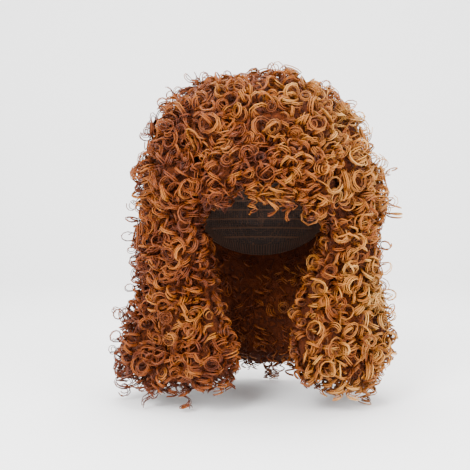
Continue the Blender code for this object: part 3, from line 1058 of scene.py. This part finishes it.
@dataclass
class StrandWinder:
    """The Geometry Nodes tree that winds strands round guide lines and sweeps them into closed meshes.

    spread is how far a strand strays from its coil, and full_height is where it takes its full light.
    """

    width: float = 0.0015
    thickness: float = 0.0011
    spread: float = 0.0034
    full_height: float = 0.022
    seed: int = 3
    group: bpy.types.NodeTree = None

    def interface(self) -> None:
        """Names the tree's inputs and output."""
        sockets = self.group.interface
        sockets.new_socket("Geometry", in_out="OUTPUT", socket_type="NodeSocketGeometry")
        sizes = dict.fromkeys(("Width", "Thickness", "Spread", "Full Height"), "Float")
        for name, kind in {"Geometry": "Geometry", **sizes, "Seed": "Int", "Finish": "Material"}.items():
            sockets.new_socket(name, in_out="INPUT", socket_type=f"NodeSocket{kind}")

    def profile(self, tree: NodeTree, given: Node) -> Sock:
        """Makes a strand's three-sided section, flat below and ridged above.

        Args:
            tree: the tree.
            given: the node with the tree's inputs.

        Returns:
            The section.
        """
        circle = tree.step("CurvePrimitiveCircle", {"mode": "RADIUS"}, Resolution=3, Radius=0.5)
        marked = tree.store(circle, "around", tree.step("SplineParameter"))
        width, thickness = tree.out(given, "Width"), tree.out(given, "Thickness")
        size = tree.node("ShaderNodeCombineXYZ", X=thickness, Y=width, Z=1.0)
        return tree.step("Transform", Geometry=marked, Scale=tree.out(size))

    def offset(self, tree: NodeTree, given: Node) -> tuple[Sock, Sock]:
        """Works out where a strand runs, from its guide's winding and its own stray.

        Args:
            tree: the tree.
            given: the node with the tree's inputs.

        Returns:
            How far it lies from the guide's centre, and the way out from that centre.
        """
        out_by, along_by, turned_by = (tree.part(tree.named("stray", "FLOAT_VECTOR"), name) for name in "XYZ")
        side, over = tree.named("side", "FLOAT_VECTOR"), tree.named("over", "FLOAT_VECTOR")
        loose = tree.out(given, "Spread") * (tree.named("along") * 0.6 + 0.4)
        outward, sideways = (by * tree.maths("ABSOLUTE", by) for by in (out_by, along_by))
        angle = tree.named("angle") + turned_by * 0.30
        reach = tree.named("reach") + outward * loose
        radial = tree.vector(
            "ADD",
            tree.vector("SCALE", side, Scale=tree.maths("COSINE", angle)),
            tree.vector("SCALE", over, Scale=tree.maths("SINE", angle)),
        )
        axial = tree.vector("SCALE", tree.vector("CROSS_PRODUCT", side, over), Scale=sideways * loose * 1.2)
        return tree.vector("ADD", tree.vector("SCALE", radial, Scale=reach), axial), radial

    def build(self) -> None:
        """Builds the tree."""
        self.group = bpy.data.node_groups.new("wind_strands", "GeometryNodeTree")
        self.interface()
        tree = NodeTree(self.group)
        given = tree.node("NodeGroupInput")
        lines = tree.step("MeshToCurve", Mesh=tree.out(given, "Geometry"))
        amount = tree.named("strands", "INT")
        copies = tree.step("DuplicateElements", {"domain": "SPLINE"}, Geometry=lines, Amount=amount)
        ends = {"i0": (-1.0, -1.0, -1.0), "i1": (1.0, 1.0, 1.0)}
        settings = {"data_type": "FLOAT_VECTOR"}
        chance = tree.node("FunctionNodeRandomValue", settings, Seed=tree.out(given, "Seed"), **ends)
        tree.tree.links.new(tree.step("InputIndex").socket, chance.inputs["ID"])
        kept = tree.store(copies, "stray", tree.out(chance), "FLOAT_VECTOR", "CURVE")
        offset, radial = self.offset(tree, given)
        rise = tree.vector("DOT_PRODUCT", offset, tree.named("up", "FLOAT_VECTOR"), result="Value")
        lift = tree.maths("DIVIDE", tree.named("height") + rise, tree.out(given, "Full Height"))
        risen = tree.store(kept, "lift", lift.clamped())
        wound = tree.step("SetPosition", Geometry=risen, Offset=offset)
        turned = tree.step("SetCurveNormal", {"mode": "FREE"}, Curve=wound, Normal=radial)
        sized = tree.step("SetCurveRadius", Curve=turned, Radius=tree.named("girth"))
        stray = tree.named("stray", "FLOAT_VECTOR")
        tone = tree.named("tone") + tree.part(stray, "X") * 0.10 + tree.part(stray, "Y") * 0.08
        shaded = tree.store(sized, "tone", tone)
        section = self.profile(tree, given)
        swept = tree.step("CurveToMesh", Curve=shaded, Profile_Curve=section, Fill_Caps=True)
        real = tree.step("RealizeInstances", Geometry=tree.step("SetShadeSmooth", Geometry=swept))
        dressed = tree.step("SetMaterial", Geometry=real, Material=tree.out(given, "Finish"))
        tree.tree.links.new(dressed.socket, tree.node("NodeGroupOutput").inputs[0])

    def wind(self, name: str, guides: list[Guide], finish: Material) -> Object:
        """Winds the strands of one piece and makes them a plain mesh.

        Args:
            name: the piece's name.
            guides: its curls.
            finish: its material.

        Returns:
            The piece.
        """
        source = add_object(f"{name}_guides", guide_mesh(f"{name}_guides", guides))
        modifier = source.modifiers.new("wind", "NODES")
        modifier.node_group = self.group
        values = {key.replace("_", " ").title(): value for key, value in vars(self).items()}
        values["Finish"] = finish
        for item in self.group.interface.items_tree:
            if item.in_out == "INPUT" and item.name in values:
                modifier[item.identifier] = values[item.name]
        bpy.context.view_layer.update()
        wound = source.evaluated_get(bpy.context.evaluated_depsgraph_get())
        mesh = bpy.data.meshes.new_from_object(wound)
        mesh.name = name
        bpy.data.objects.remove(source, do_unlink=True)
        return add_object(name, mesh)


@dataclass
class Studio:
    """The floor, the lights and the camera."""

    picture: int = 470
    focal_px: float = 871.0
    wig_height_px: float = 312.0
    wig_middle_px: Span = (256.0, 230.0)
    azimuth: float = 0.0
    elevation: float = 2.0
    bend: float = 0.8
    bend_start: float = 1.6

    def floor(self, ground: float) -> Object:
        """Makes a pale sweep: a floor that curves up into a backdrop.

        Args:
            ground: the floor's height.

        Returns:
            The sweep.
        """
        profile = [(-4.0, 0.0), (self.bend_start, 0.0)]
        for i in range(1, 9):
            turn = math.radians(90) * i / 8
            rise = self.bend - self.bend * math.cos(turn)
            profile.append((self.bend_start + self.bend * math.sin(turn), rise))
        profile.append((self.bend_start + self.bend, 5.0))
        sweep = bmesh.new()
        rows = [[sweep.verts.new((x, y, ground + z)) for x in (-5.0, 5.0)] for y, z in profile]
        for (a, b), (c, d) in zip(rows, rows[1:]):
            sweep.faces.new((a, b, d, c)).smooth = True
        mesh = bpy.data.meshes.new("sweep")
        sweep.to_mesh(mesh)
        sweep.free()
        mesh.materials.append(Surface("sweep", Base_Color=linear(250, 250, 250), Roughness=0.9).material)
        return add_object("sweep", mesh)

    def lamp(self, name: str, place: tuple, size: float, watts: float, target: Vector) -> None:
        """Hangs a soft square lamp.

        Args:
            name: its name.
            place: where it hangs.
            size: its side.
            watts: its power.
            target: the point that it looks at.
        """
        data = bpy.data.lights.new(name, "AREA")
        data.size = size
        data.energy = watts
        lamp = add_object(name, data)
        lamp.location = place
        lamp.rotation_euler = (target - Vector(place)).to_track_quat("-Z", "Y").to_euler()

    def camera(self, low: Vector, high: Vector) -> None:
        """Sets the camera at the distance that gives the wig its height in the picture.

        Args:
            low: the lowest corner of the box that it frames.
            high: its highest corner.
        """
        distance = self.focal_px * (high.z - low.z) / self.wig_height_px
        metres_per_px = distance / self.focal_px
        data = bpy.data.cameras.new("camera")
        data.sensor_width = 36.0
        data.lens = data.sensor_width * self.focal_px / self.picture
        turn, rise = math.radians(self.azimuth), math.radians(self.elevation)
        away = Vector((-math.sin(turn) * math.cos(rise), -math.cos(turn) * math.cos(rise), math.sin(rise)))
        rotation = (-away).to_track_quat("-Z", "Y")
        right, up = rotation @ Vector((1, 0, 0)), rotation @ Vector((0, 1, 0))
        off_x = self.wig_middle_px[0] - self.picture / 2
        off_y = self.picture / 2 - self.wig_middle_px[1]
        aim = (low + high) / 2 - right * off_x * metres_per_px - up * off_y * metres_per_px
        camera = add_object("camera", data)
        camera.location = aim + away * distance
        camera.rotation_euler = rotation.to_euler()
        bpy.context.scene.camera = camera

    def build(self, low: Vector, high: Vector, ground: float) -> None:
        """Sets the stage.

        Args:
            low: the lowest corner of the box that the camera frames.
            high: its highest corner.
            ground: the height of the floor.
        """
        self.floor(ground)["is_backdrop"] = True
        middle = (low + high) / 2
        self.lamp("key", (-0.9, -1.8, 1.2), 0.9, 100.0, middle)
        self.lamp("fill", (1.5, -1.5, 0.6), 1.3, 58.0, middle)
        self.lamp("top", (0.0, 0.3, 1.9), 1.2, 62.0, middle)
        world = bpy.data.worlds.new("studio")
        world.use_nodes = True
        sky = world.node_tree.nodes["Background"].inputs
        sky["Color"].default_value = (1.0, 1.0, 1.0, 1.0)
        sky["Strength"].default_value = 1.9
        bpy.context.scene.world = world
        self.camera(low, high)


class Wig:
    """The whole wig over its frame."""

    def build(self, lowest: float) -> None:
        """Builds every piece and hangs it on the frame.

        Args:
            lowest: the height that no curl hangs below.
        """
        underhair, tiers, winder = Underhair(), TierFinder(), StrandWinder()
        base = underhair.build(UnderhairFinish().build(), tiers)
        self.seat(base)
        LOG.info("underhair: %d faces", len(base.data.polygons))
        scalp = Scalp(underhair, tiers)
        roots = scalp.scatter()
        LOG.info("roots: %d", len(roots))
        dressed = Stylist(underhair, lowest=lowest).dress(roots, scalp.spots)
        finish = StrandFinish().build()
        winder.build()
        total = 0
        for tier, guides in dressed.items():
            name = tier.value.replace("locks", "curls")
            piece = winder.wind(name, guides, finish)
            self.seat(piece)
            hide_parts(tier.value)
            faces = sum(len(p.vertices) - 2 for p in piece.data.polygons)
            total += faces
            LOG.info("%s: %d curls, %d triangles", name, len(guides), faces)
        LOG.info("strands in all: %d triangles", total)
        for node, cap_finish in (("cap_net", StretchNetFinish()), ("cap_band", ElasticBandFinish())):
            material = cap_finish.build()
            for material_slot in bpy.data.objects[node].material_slots:
                material_slot.material = material

    def seat(self, piece: Object) -> None:
        """Makes a hair piece ride on the wig's body."""
        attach(piece, BODY)


def main() -> None:
    """Loads the frame, dresses it and sets the stage."""
    logging.basicConfig(level=logging.INFO, format="%(name)s %(message)s")
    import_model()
    solid_low, solid_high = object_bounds()
    low, high = Vector(solid_low), Vector(solid_high)
    Wig().build(low.z - HEM_REACH)
    seen_low, seen_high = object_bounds()
    Studio().build(low, high, seen_low[2])


if __name__ == "__main__":
    main()
